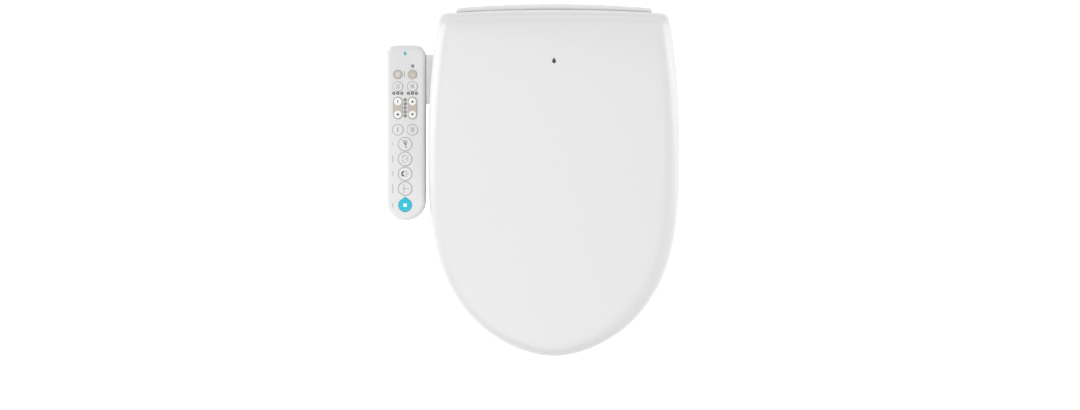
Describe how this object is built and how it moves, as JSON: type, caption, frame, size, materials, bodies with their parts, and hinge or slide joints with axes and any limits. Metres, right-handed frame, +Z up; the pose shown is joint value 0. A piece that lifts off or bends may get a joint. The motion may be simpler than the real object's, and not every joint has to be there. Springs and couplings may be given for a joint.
{
  "type": "electric bidet seat",
  "caption": "Electric bidet seat with soft-close lid, heated seat, two telescoping wash nozzles, warm-air dryer and a control arm of keys at one side.",
  "frame": {"origin": "centre of the mounting plate's underside, on the toilet deck, midway between the two fixing bolts", "axes": "+Z up, +Y to the rear (tank side), +X towards the side away from the control arm"},
  "size_m": [0.4425, 0.5298, 0.184],
  "materials": {
    "white_shell": "glossy white moulded ABS",
    "seat_white": "glossy white moulded polypropylene",
    "tan_key": "satin tan key plastic",
    "pale_key": "satin off-white key plastic",
    "teal_key": "satin teal key plastic",
    "rubber": "matt grey rubber",
    "dark_nylon": "matt dark grey nylon",
    "pale_nylon": "matt natural acetal",
    "steel": "plain stainless steel",
    "circuit_board": "green lacquered circuit board",
    "clear_plastic": "milky translucent plastic",
    "foil": "aluminium heating foil",
    "carbon": "dull black cassette for activated carbon"
  },
  "bodies": {
    "mount": {"mounting_plate": "dark_nylon", "bolt_left": "steel", "bolt_right": "steel", "rubber_cone_left": "rubber", "rubber_cone_right": "rubber", "wing_nut_left": "dark_nylon", "wing_nut_right": "dark_nylon"},
    "housing": {"base_case": "white_shell", "top_cover": "white_shell", "inlet_fitting": "steel", "cord_gland": "rubber", "drain_plug": "dark_nylon", "lid_damper": "dark_nylon", "seat_damper": "dark_nylon", "arm_top_case": "white_shell", "arm_bottom_case": "white_shell", "control_board": "circuit_board", "light_guide": "clear_plastic", "nozzle_cradle": "dark_nylon", "rear_wash_motor": "steel", "front_wash_motor": "steel", "inlet_valve": "dark_nylon", "heater_tank": "clear_plastic", "water_hose": "rubber", "fan_casing": "dark_nylon", "fan_motor": "steel", "main_board": "circuit_board"},
    "seat": {"seat_top": "seat_white", "seat_base": "seat_white", "seat_heater": "foil", "seat_damper_shaft": "steel", "seat_buffer_rear_left": "rubber", "seat_buffer_rear_right": "rubber", "seat_buffer_front_left": "rubber", "seat_buffer_front_right": "rubber"},
    "lid": {"lid_shell": "white_shell", "lid_buffer_left": "rubber", "lid_buffer_right": "rubber", "lid_damper_shaft": "steel"},
    "release_button": {"release_button": "white_shell"},
    "rear_wash_nozzle": {"rear_wash_nozzle": "pale_key"},
    "front_wash_nozzle": {"front_wash_nozzle": "pale_key"},
    "rear_wash_pinion": {"rear_wash_pinion": "pale_nylon"},
    "front_wash_pinion": {"front_wash_pinion": "pale_nylon"},
    "fan_impeller": {"fan_impeller": "pale_nylon"},
    "dryer_flap": {"dryer_flap": "white_shell"},
    "carbon_filter": {"carbon_filter": "carbon"},
    "lid_heat_key": {"lid_heat_key": "tan_key"},
    "seat_heat_key": {"seat_heat_key": "tan_key"},
    "water_heat_key": {"water_heat_key": "pale_key"},
    "air_heat_key": {"air_heat_key": "pale_key"},
    "massage_key": {"massage_key": "pale_key"},
    "clean_key": {"clean_key": "pale_key"},
    "dryer_key": {"dryer_key": "pale_key"},
    "front_wash_key": {"front_wash_key": "pale_key"},
    "rear_wash_key": {"rear_wash_key": "pale_key"},
    "auto_key": {"auto_key": "pale_key"},
    "stop_key": {"stop_key": "teal_key"},
    "nozzle_rocker": {"nozzle_rocker": "tan_key"},
    "pressure_rocker": {"pressure_rocker": "tan_key"}
  },
  "joints": [
    {"name": "body_release", "type": "slide", "parent": "mount", "child": "housing", "axis": [0, -1, 0], "range_m": [0, 0.09]},
    {"name": "seat_hinge", "type": "hinge", "parent": "housing", "child": "seat", "pos_m": [0, 0.022, 0.098], "axis": [-1, 0, 0], "range_deg": [0, 95]},
    {"name": "lid_hinge", "type": "hinge", "parent": "seat", "child": "lid", "pos_m": [0, 0.022, 0.098], "axis": [1, 0, 0], "range_deg": [-105, 0]},
    {"name": "release_press", "type": "slide", "parent": "housing", "child": "release_button", "axis": [-1, 0, 0], "range_m": [0, 0.002], "stiffness_N_per_m": 600},
    {"name": "rear_wash_pinion_spin", "type": "hinge", "parent": "housing", "child": "rear_wash_pinion", "pos_m": [-0.011, -0.07138, 0.04562], "axis": [1, 0, 0], "range_deg": [-573, 0]},
    {"name": "rear_wash_slide", "type": "slide", "parent": "housing", "child": "rear_wash_nozzle", "axis": [0, -0.8829, -0.4695], "range_m": [0, 0.06]},
    {"name": "front_wash_pinion_spin", "type": "hinge", "parent": "housing", "child": "front_wash_pinion", "pos_m": [0.011, -0.07138, 0.04562], "axis": [1, 0, 0], "range_deg": [-573, 0]},
    {"name": "front_wash_slide", "type": "slide", "parent": "housing", "child": "front_wash_nozzle", "axis": [0, -0.8829, -0.4695], "range_m": [0, 0.06]},
    {"name": "fan_spin", "type": "hinge", "parent": "housing", "child": "fan_impeller", "pos_m": [0.066, -0.052, 0.034], "axis": [1, 0, 0], "continuous": true},
    {"name": "flap_hinge", "type": "hinge", "parent": "housing", "child": "dryer_flap", "pos_m": [0.066, -0.0918, 0.0284], "axis": [-1, 0, 0], "range_deg": [0, 70]},
    {"name": "filter_slide", "type": "slide", "parent": "housing", "child": "carbon_filter", "axis": [1, 0, 0], "range_m": [0, 0.05]},
    {"name": "lid_heat_key_press", "type": "slide", "parent": "housing", "child": "lid_heat_key", "axis": [0, 0, -1], "range_m": [0, 0.0007], "stiffness_N_per_m": 400},
    {"name": "seat_heat_key_press", "type": "slide", "parent": "housing", "child": "seat_heat_key", "axis": [0, 0, -1], "range_m": [0, 0.0007], "stiffness_N_per_m": 400},
    {"name": "water_heat_key_press", "type": "slide", "parent": "housing", "child": "water_heat_key", "axis": [0, 0, -1], "range_m": [0, 0.0007], "stiffness_N_per_m": 400},
    {"name": "air_heat_key_press", "type": "slide", "parent": "housing", "child": "air_heat_key", "axis": [0, 0, -1], "range_m": [0, 0.0007], "stiffness_N_per_m": 400},
    {"name": "massage_key_press", "type": "slide", "parent": "housing", "child": "massage_key", "axis": [0, 0, -1], "range_m": [0, 0.0007], "stiffness_N_per_m": 400},
    {"name": "clean_key_press", "type": "slide", "parent": "housing", "child": "clean_key", "axis": [0, 0, -1], "range_m": [0, 0.0007], "stiffness_N_per_m": 400},
    {"name": "dryer_key_press", "type": "slide", "parent": "housing", "child": "dryer_key", "axis": [0, 0, -1], "range_m": [0, 0.0007], "stiffness_N_per_m": 400},
    {"name": "front_wash_key_press", "type": "slide", "parent": "housing", "child": "front_wash_key", "axis": [0, 0, -1], "range_m": [0, 0.0007], "stiffness_N_per_m": 400},
    {"name": "rear_wash_key_press", "type": "slide", "parent": "housing", "child": "rear_wash_key", "axis": [0, 0, -1], "range_m": [0, 0.0007], "stiffness_N_per_m": 400},
    {"name": "auto_key_press", "type": "slide", "parent": "housing", "child": "auto_key", "axis": [0, 0, -1], "range_m": [0, 0.0007], "stiffness_N_per_m": 400},
    {"name": "stop_key_press", "type": "slide", "parent": "housing", "child": "stop_key", "axis": [0, 0, -1], "range_m": [0, 0.0007], "stiffness_N_per_m": 400},
    {"name": "nozzle_rocker_tilt", "type": "hinge", "parent": "housing", "child": "nozzle_rocker", "pos_m": [-0.2349, -0.101, 0.06], "axis": [1, 0, 0], "range_deg": [-3, 3], "stiffness_Nm_per_rad": 0.05},
    {"name": "pressure_rocker_tilt", "type": "hinge", "parent": "housing", "child": "pressure_rocker", "pos_m": [-0.2129, -0.101, 0.06], "axis": [1, 0, 0], "range_deg": [-3, 3], "stiffness_Nm_per_rad": 0.05}
  ],
  "couplings": [
    {"joint": "rear_wash_pinion_spin", "follows": "rear_wash_slide", "rad_per_m": -166.67},
    {"joint": "front_wash_pinion_spin", "follows": "front_wash_slide", "rad_per_m": -166.67}
  ]
}
